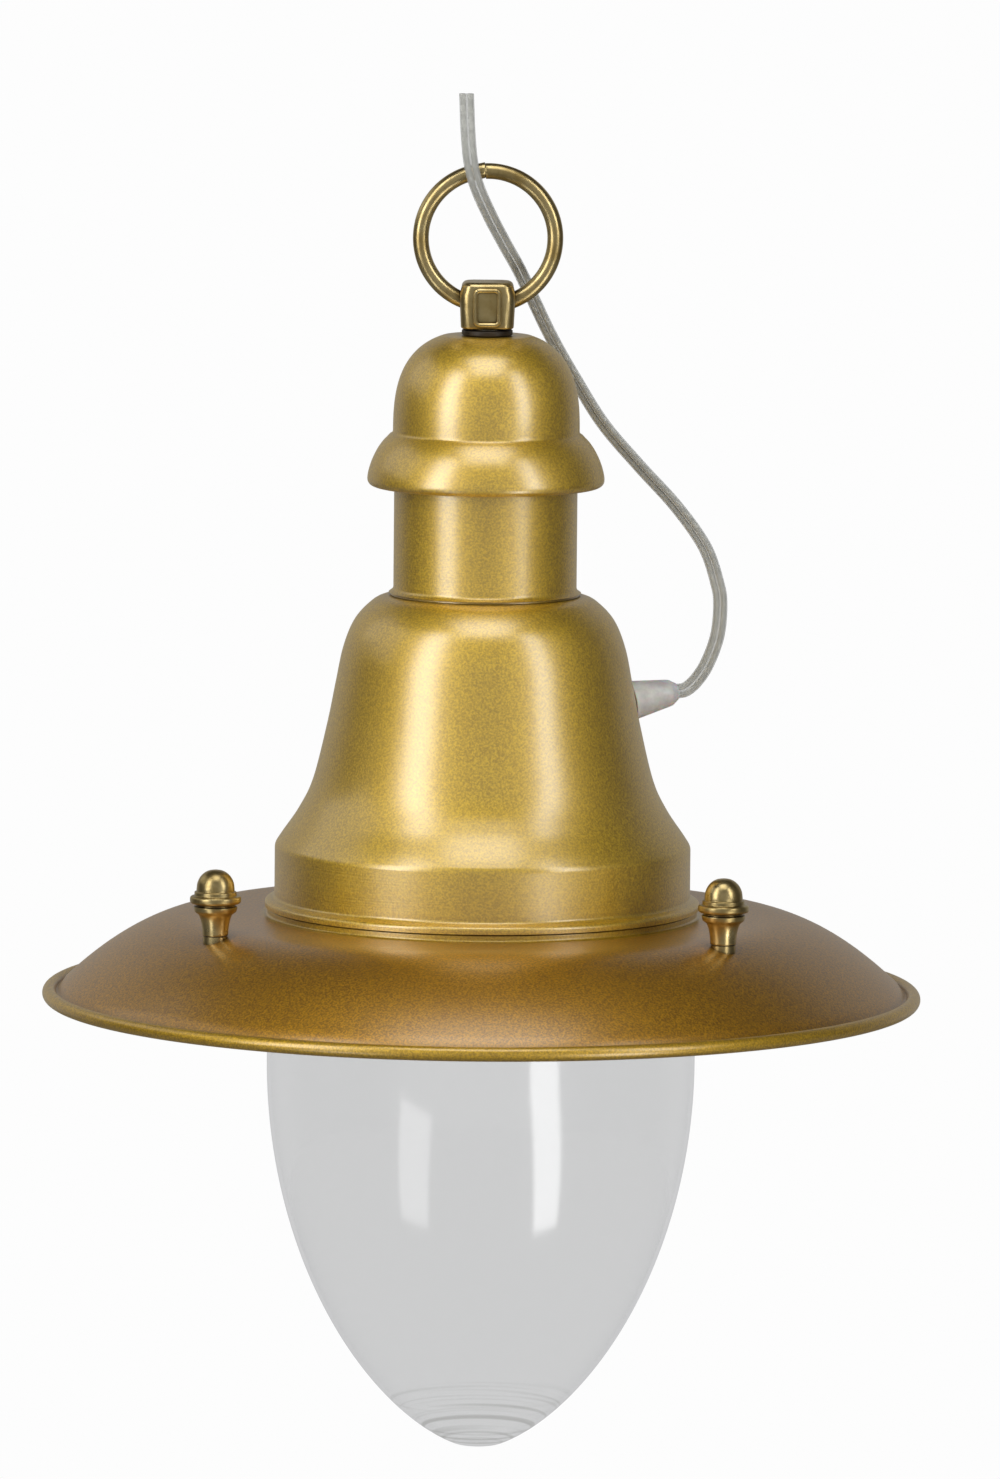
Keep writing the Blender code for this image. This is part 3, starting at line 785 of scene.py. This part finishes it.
def holder_casting(paint):
    """A block with well rounded sides, a framed panel front and back, a round foot and the ring's hole."""
    top = HOLDER_HIGH.z
    foot = HOLDER_LOW.z
    base = foot + 0.3
    depth = HOLDER_HIGH.y
    soft_top, soft_foot = 2.6, 1.0
    foot_r = 8.5
    hole_r = 4.4
    levels = []
    for n in range(7):
        a = math.radians(15 * n)
        levels.append((top - soft_top + soft_top * math.sin(a), soft_top * (1 - math.cos(a))))
    body = []
    for n in range(6):
        a = math.radians(18 * n)
        body.append((base + soft_foot * (1 - math.cos(a)), soft_foot * (1 - math.sin(a))))
    rings = []
    for z in (foot, base):
        rings.append([Vector((foot_r * math.cos(a), foot_r * math.sin(a), z)) for a in circle_angles()])
    for z, inset in body:
        rings.append(plan(11.1 - inset, depth - 0.6 - inset, 4.6 - inset * 0.6, z))
    rings.append(plan(11.6, depth, 4.6, -51.0))
    rings.append(plan(11.6, depth, 4.6, -48.0))
    for z, inset in levels:
        rings.append(plan(10.9 - inset, depth - 0.2 - inset, 4.6 - inset * 0.6, z))
    made = loft("holder_casting", rings, 30)
    middle = (RING_LOW.z + RING_HIGH.z) / 2
    carve(made, torus_tool(28.0, hole_r, middle))
    for side in (-1, 1):
        carve(made, panel_frame(side * depth, -53.0), "UNION")
    put(made, "lantern", "antique_brass", paint, "ring_holder")


def circle_angles(each=10):
    """Angles that pair a circle's points with those of plan()."""
    out = []
    for start in (0, 90, 180, 270):
        for n in range(each + 1):
            out.append(math.radians(start + 3 + 84 * n / each))
    return out


def panel_frame(y, z):
    """A raised bead round a panel, half sunk in the holder's face."""
    bead = 0.95
    rings = []
    path = plan(5.0, 7.2, 1.9, 0, each=6)
    for n, here in enumerate(path):
        along = (path[(n + 1) % len(path)] - path[n - 1]).normalized()
        out = Vector((along.y, -along.x, 0))
        ring = []
        for m in range(10):
            b = 2 * math.pi * m / 10
            spot = here + out * bead * math.cos(b)
            ring.append((spot.x, y + bead * math.sin(b), z + spot.y))
        rings.append(ring)
    return loop_of("panel_frame", rings)


def seat_washer(paint):
    """The dark washer between the holder and the cap, with rounded edges."""
    low, high = extent("holder_washer")
    inner, outer, edge = 5.4, (high.x - low.x) / 2, 0.6
    corners = [(inner, high.z, 0), (outer, high.z, edge), (outer, low.z, edge), (inner, low.z, 0)]
    made = turned("seat_washer", rounded(corners), 96)
    put(made, "lantern", "dark_washer", paint, "holder_washer")


def cap_shell(paint):
    """The dome, the crease under it and the ogee skirt with its rolled lip."""
    seat = CAP_HIGH.z
    crease = -107.0
    skirt = -125.6
    rise = seat + 2.0 - crease
    squareness, fullness = 2.8, 1.5
    outline = [Vector((5.4, seat))]
    for n in range(49):
        z = seat + (crease + 1.8 - seat) * (n / 48) ** 1.6
        share = (1 - ((z - crease) / rise) ** squareness) ** (1 / squareness)
        outline.append(Vector((39.2 * share, z)))
    outline += [Vector(p) for p in ((39.25, crease + 1.0), (39.6, crease + 0.35), (40.6, crease - 0.25))]
    for n in range(2, 25):
        z = crease + (skirt - crease) * n / 24
        share = (1 - ((z - skirt) / (crease - skirt)) ** fullness) ** (1 / fullness)
        outline.append(Vector((39.2 + (49.8 - 39.2) * share, z)))
    outline += arc((47.0, skirt - 0.4), 2.8, -8, -95, 8)
    made = turned("cap_shell", shell_section(outline, WALL))
    put(made, "lantern", "gold_paint", paint, "dome_cap")


def neck_shell(paint):
    """A plain tube that spreads a little where it meets the bell."""
    radius = 38.5
    top = NECK_HIGH.z
    foot = NECK_LOW.z
    corners = [(radius, top, 0), (radius, foot + 1.9, 2.6), (radius + 1.9, foot + 0.6, 0)]
    made = turned("neck_shell", shell_section(rounded(corners, 8), WALL))
    put(made, "lantern", "brushed_gold_paint", paint, "neck_tube")


def bell_shell(paint):
    """Shoulder, waist and flare of the bell, its upright band and the flange at its foot."""
    top = BELL_HIGH.z
    flange = -304.2
    curve = [(41.0, top), (47.0, -177.4), (54.5, -185.3), (59.3, -197.0), (62.4, -212.0)]
    curve += [(65.8, -229.4), (71.5, -252.8), (77.4, -265.5), (84.9, -276.6)]
    outline = [Vector((5.4, top)), Vector((34.0, top))] + through(curve, 80)
    band = [(84.9, -276.6, 0), (87.5, -280.6, 5.0), (87.5, flange + 1.6, 1.5), (91.5, flange, 1.7)]
    band += [(91.5, BELL_LOW.z - 0.3, 0)]
    outline += rounded(band, 7)[1:]
    made = turned("bell_shell", shell_section(outline, WALL))
    put(made, "lantern", "gold_paint", paint, "bell_housing")


def shade_dome(r):
    """Height of the shade's upper surface outside its collar: flat, then falling to the groove."""
    flat, groove = -310.2, -341.9
    flat_r, groove_r = 120.0, 178.3
    fall = max(0.0, (r - flat_r) / (groove_r - flat_r))
    return flat + (groove - flat) * fall**1.8


def shade_shell(paint):
    """Collar, flat, falling dome, groove and rolled rim."""
    top = SHADE_HIGH.z
    flat = shade_dome(100)
    corners = [(78.0, top, 0), (90.4, top, 0.7), (90.4, flat, 1.1), (96.0, flat, 0)]
    outline = rounded(corners, 10)
    outline += [Vector((r, shade_dome(r))) for r in range(100, 124, 4)]
    outline += [Vector((r, shade_dome(r))) for r in range(124, 177, 2)]
    outline += [Vector(p) for p in ((177.2, -341.5), (178.0, -342.6), (178.6, -343.2), (179.1, -343.3))]
    outline += arc((182.0, -344.25), 3.0, 152, -150, 28)
    made = turned("shade_shell", shell_section(outline, 1.0), 360)
    put(made, "lantern", "gold_paint", paint, "shade")


def glass_bowl(outer_paint, inner_paint):
    """Blown glass: a lip turned out, a straight wall and a drawn-in blunt point."""
    radius = 90.2
    widest, tip = -372.0, GLASS_LOW.z
    lip_top = -318.0
    outline = rounded([(97.1, lip_top, 0), (radius, lip_top, 4.0), (radius, widest, 0)], 9)
    outline = outline[:-1]
    outline += [Vector((radius, z)) for z in range(-330, -372, -8)]
    depth, foot = 165.8, tip - TIP_DROP
    for n in range(1, 54):
        share = math.sin(math.radians(1.5 * n))
        outline.append(Vector((radius * (1 - share**2) ** 0.62, widest - depth * share)))
    outline += through([outline[-1], (8.3, foot + 0.2), (5.0, foot), (0.0, foot)], 12)[1:]
    outline[-1].x = 0.0
    wall = 1.6
    count = len(outline) - 1
    section = shell_section(outline[:-1], wall)
    lip_points = 5
    back = section[count + lip_points : 2 * count + lip_points]
    inside = [Vector((0.0, foot + wall))]
    for here in back:
        if here.x > inside[-1].x + 0.1 or here.y > tip + 20:
            inside.append(here)
    made = turned("glass_bowl", inside + section[2 * count + lip_points :] + outline, closed=False)
    put(made, "glass_set", "clear_glass", outer_paint, "glass_globe")
    made.data.materials.append(inner_paint)
    middle = Vector((0, 0, widest * MM))
    for face in made.data.polygons:
        face.material_index = int(face.normal.dot(face.center - middle) < 0)


def seat_pad(number, x, y, paint):
    """A thin washer, level on top, whose foot follows the slope of the shade."""
    low, high = extent(f"nut_washer_{number}")
    outer, inner = (high.x - low.x) / 2, 2.9
    bevel = 0.12
    above = 0.03  # clearance over the shade
    level = high.z - NUT_DROP
    rings = []
    for n in range(SMALL):
        a = 2 * math.pi * n / SMALL
        ring = []
        for r, top in ((outer - bevel, level), (outer, level - bevel), (outer, None), (inner, None), (inner, level)):
            here = Vector((x + r * math.cos(a), y + r * math.sin(a)))
            z = shade_dome(here.length) + above if top is None else top
            ring.append((here.x, here.y, z))
        rings.append(ring)
    made = loop_of(f"thin_washer_{number}", rings)
    put(made, "lantern", "antique_brass", paint, f"nut_washer_{number}")


def thumb_nuts(brass):
    """Acorn tops over two beads and a waisted stem, each on a thin washer."""
    for number in (1, 2, 3):
        low, high = extent(f"finial_nut_{number}")
        x, y = (low.x + high.x) / 2, (low.y + high.y) / 2
        foot = low.z - NUT_DROP
        acorn = through([(0.0, 27.6), (3.3, 26.95), (5.9, 25.1), (7.5, 22.3), (7.95, 19.3)], 16)
        beads = [(7.95, 19.3, 0), (7.9, 18.5, 0.35), (8.8, 18.3, 0.35), (8.8, 16.7, 0.5), (10.6, 16.4, 1.3)]
        beads += [(10.7, 13.5, 1.3), (8.3, 13.1, 0.4), (8.3, 12.4, 0.35), (9.2, 12.1, 0.7)]
        beads += [(8.7, 9.9, 1.2), (7.0, 8.7, 0)]
        stem = through([(7.0, 8.7), (6.3, 6.9), (5.75, 4.4), (5.45, 1.8), (5.4, 0.4)], 12)
        bore = [(5.4, 0.4, 0), (5.3, 0.0, 0.15), (2.8, 0.0, 0), (2.8, 18.2, 0), (0.0, 18.2, 0)]
        outline = [*acorn, *rounded(beads, 14)[1:], *stem[1:], *rounded(bore)[1:]]
        outline = [Vector((p.x, p.y + foot)) for p in outline]
        nut = turned(f"thumb_nut_{number}", outline, 96, closed=False, at=(x, y))
        put(nut, f"nut_{number}", "antique_brass", brass, f"finial_nut_{number}")
        seat_pad(number, x, y, brass)


def clamp_studs(paint):
    """Studs with domed heads under the carrier and threads up to the nuts."""
    for number in (1, 2, 3):
        low, high = extent(f"clamp_stud_{number}")
        x, y = (low.x + high.x) / 2, (low.y + high.y) / 2
        pitch, crest, root = 0.8, 2.48, 2.12
        head = low.z + 2.5
        outline = [Vector((0.0, high.z)), Vector((1.9, high.z)), Vector((crest, high.z - 0.5))]
        turns = int((high.z - 1.0 - head - 3.0) / pitch)
        for n in range(turns):
            z = high.z - 0.9 - n * pitch
            outline += [Vector((crest, z)), Vector((root, z - pitch * 0.4)), Vector((crest, z - pitch * 0.8))]
        under = [(crest, head + 1.2, 0), (crest, head, 0.2), (4.2, head, 0.4), (4.1, low.z + 0.6, 0.8)]
        under += [(2.2, low.z, 0.8), (0.0, low.z, 0)]
        outline += rounded(under)[1:]
        made = turned(f"threaded_stud_{number}", outline, 40, closed=False, at=(x, y))
        put(made, "glass_set", "zinc_steel", paint, f"clamp_stud_{number}")


def carrier_ring(paint):
    """The pressed ring under the shade that holds the glass by its lip."""
    high = extent("glass_carrier")[1]
    sheet = 1.5
    lip_r = 98.3
    shelf = -318.3
    corners = [(high.x, high.z, 0), (lip_r + 0.3, high.z, 0.4), (lip_r, shelf, 0.3), (93.6, shelf, 0)]
    outline = rounded(corners[::-1], 15)
    made = turned("carrier_ring", shell_section(outline, sheet))
    put(made, "glass_set", "zinc_steel", paint, "glass_carrier")


def gasket_ring(paint):
    """The rubber ring between the glass's lip and the shade."""
    low, high = extent("glass_gasket")
    corners = [(93.2, high.z, 0.4), (97.4, high.z, 0.9), (97.4, low.z, 0.9), (93.2, low.z, 0.9)]
    loop = rounded([corners[-1], *corners, corners[0]])[1:-1]
    put(turned("gasket_ring", loop), "glass_set", "gasket_rubber", paint, "glass_gasket")


def lampholder(porcelain, brass):
    """Porcelain skirt with a bead at its mouth, and the rolled screw shell inside it."""
    low, high = extent("lampholder_skirt")
    corners = [(0.0, high.z, 0), (20.0, high.z, 1.0), (20.0, low.z + 4.4, 0.8), (21.0, low.z + 3.6, 0.8)]
    corners += [(21.0, low.z, 1.2), (14.6, low.z, 1.0), (14.6, high.z - 3.0, 1.0), (0.0, high.z - 3.0, 0)]
    made = turned("porcelain_skirt", rounded(corners), MEDIUM, closed=False)
    put(made, "lantern", "white_ceramic", porcelain, "lampholder_skirt")
    low, high = extent("lampholder_shell")
    pitch = 3.6
    wave = []
    steps = 60
    for n in range(steps + 1):
        z = high.z + (low.z - high.z) * n / steps
        wave.append(Vector((13.9 - 0.42 * math.cos(2 * math.pi * (high.z - z) / pitch), z)))
    made = turned("screw_shell", shell_section(wave, 0.35), MEDIUM)
    put(made, "lantern", "plain_brass", brass, "lampholder_shell")


def cord_bush(paint):
    """A tapered bush with a chamfered nose, set on the bell's flank."""
    corners = [(0.0, 21.0, 0), (3.3, 21.0, 0.5), (5.5, 17.9, 0.9), (5.8, 16.4, 1.2), (8.2, 1.6, 0.6)]
    corners += [(8.2, 0.9, 0.2), (5.0, 0.9, 0), (5.0, -8.0, 0), (0.0, -8.0, 0)]
    made = turned("cord_bush", rounded(corners), 96, closed=False)
    turn = GLAND_AXIS.to_track_quat("Z", "Y").to_matrix().to_4x4()
    made.data.transform(turn)
    for vertex in made.data.vertices:
        vertex.co += GLAND_SEAT * MM
    put(made, "lantern", "milky_plastic", paint, "strain_relief")


def cord_stations(count):
    """Centre, flat direction and thin direction down the cord, from inside the bush to the cut end."""
    lead_in = [(GLAND_SEAT + GLAND_AXIS * (GLAND_NOSE - 4.0)) * MM]
    path = through(lead_in + CORD_ROUTE, count)
    out = []
    for n, here in enumerate(path):
        ahead = path[min(n + 1, count - 1)]
        behind = path[max(n - 1, 0)]
        along = (ahead - behind).normalized()
        if n == count - 1:
            along = Vector((0, 0, 1))
        flat = along.cross(Vector((0, 1, 0))).normalized()
        thin = flat.cross(along)
        share = n / (count - 1)
        lean = math.radians(34) * math.sin(math.pi * min(1.0, share / 0.9)) ** 0.8 if share < 0.9 else 0.0
        side = flat * math.cos(lean) + thin * math.sin(lean)
        out.append((here / MM, side, side.cross(along)))
    return out


def supply_flex(sheath_paint, core_paint):
    """Clear flat flex over two cores of twisted strands."""
    stations = cord_stations(240)
    half, lobe = CORD_WIDTH / 2, CORD_THICK / 2
    spread = half - lobe
    web = 0.85  # half the thickness between the two lobes
    edge = 0.4
    section = []
    for n in range(36):
        a = 2 * math.pi * n / 36
        x = half * math.cos(a)
        rise = max(0.0, 1 - ((abs(x) - spread) / lobe) ** 2)
        thick = lobe * math.sqrt(rise)
        if abs(x) < half - edge:
            thick = max(web, thick)
        section.append((x, math.copysign(thick, math.sin(a)) if n % 18 else 0.0))
    rings = [[c + flat * x + thin * y for x, y in section] for c, flat, thin in stations]
    sheath = loft("flex_sheath", rings)
    put(sheath, "lantern", "clear_flex", sheath_paint, "supply_cord")
    strands, core, groove, twist = 7, 1.12, 0.13, 0.11
    for name, side in (("flex_core_left", -1), ("flex_core_right", 1)):
        rings = []
        for n, (centre, flat, thin) in enumerate(cord_stations(420)):
            ring = []
            for m in range(strands * 5):
                a = 2 * math.pi * m / (strands * 5)
                r = core * (1 - groove * math.cos(a * strands) ** 2)
                b = a + n * twist
                ring.append(centre + flat * (side * spread + r * math.cos(b)) + thin * r * math.sin(b))
            rings.append(ring)
        made = loft(name, rings, 60)
        put(made, "lantern", "clear_flex", core_paint)


def carried_over(paints):
    """Materials for the CAD nodes that are kept as they are, inside the lantern."""
    for name, paint in paints.items():
        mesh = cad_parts[name].data
        mesh.materials.clear()
        mesh.materials.append(paint)


# ---------------------------------------------------------------- the lantern

camera()
studio()

gold = gold_paint("gold_paint")
bell_gold = gold_paint("bell_gold_paint", lines=0.7, line_top=-0.281)
neck_gold = gold_paint("brushed_gold_paint", lines=1.0, line_top=0.0)
shade_gold = gold_paint("shade_gold_paint", reflection_brown=True)
brass = antique_brass("antique_brass")
cast_brass = antique_brass("cast_brass", hammered=0.35)
bright_brass = turned_brass()
dark = dark_steel()
zinc = zinc_steel()
black = rubber()
white_nylon = nylon()
milky = milky_plastic()
porcelain = ceramic()
strands = tinned_strands()
glass = see_through("clear_glass", (0.812, 0.814, 0.816), (0.80, 0.80, 0.81), (0.08, 0.25), GLASS_LOW.z * MM)
glass_inside = see_through("clear_glass_inside", (0.995, 0.995, 0.995), (0.985, 0.985, 0.985), (0.0, 0.08))
sheath = flex_sheath_plastic()

supply_flex(sheath, strands)
ring_wire(brass)
holder_casting(cast_brass)
seat_washer(dark)
cap_shell(gold)
neck_shell(neck_gold)
bell_shell(bell_gold)
shade_shell(shade_gold)
glass_bowl(glass, glass_inside)
thumb_nuts(brass)
clamp_studs(zinc)
carrier_ring(zinc)
gasket_ring(black)
lampholder(porcelain, bright_brass)
cord_bush(milky)
carried_over(
    {
        "threaded_tube": zinc,
        "clamp_bridge": zinc,
        "bridge_washer": zinc,
        "bridge_nut": bright_brass,
        "lampholder_cap": porcelain,
        "lampholder_contact": bright_brass,
        "terminal_block": white_nylon,
        "terminal_screw": zinc,
        "strain_relief_nut": white_nylon,
        "cord_tail": milky,
        "lead_live": milky,
        "lead_neutral": milky,
    }
)
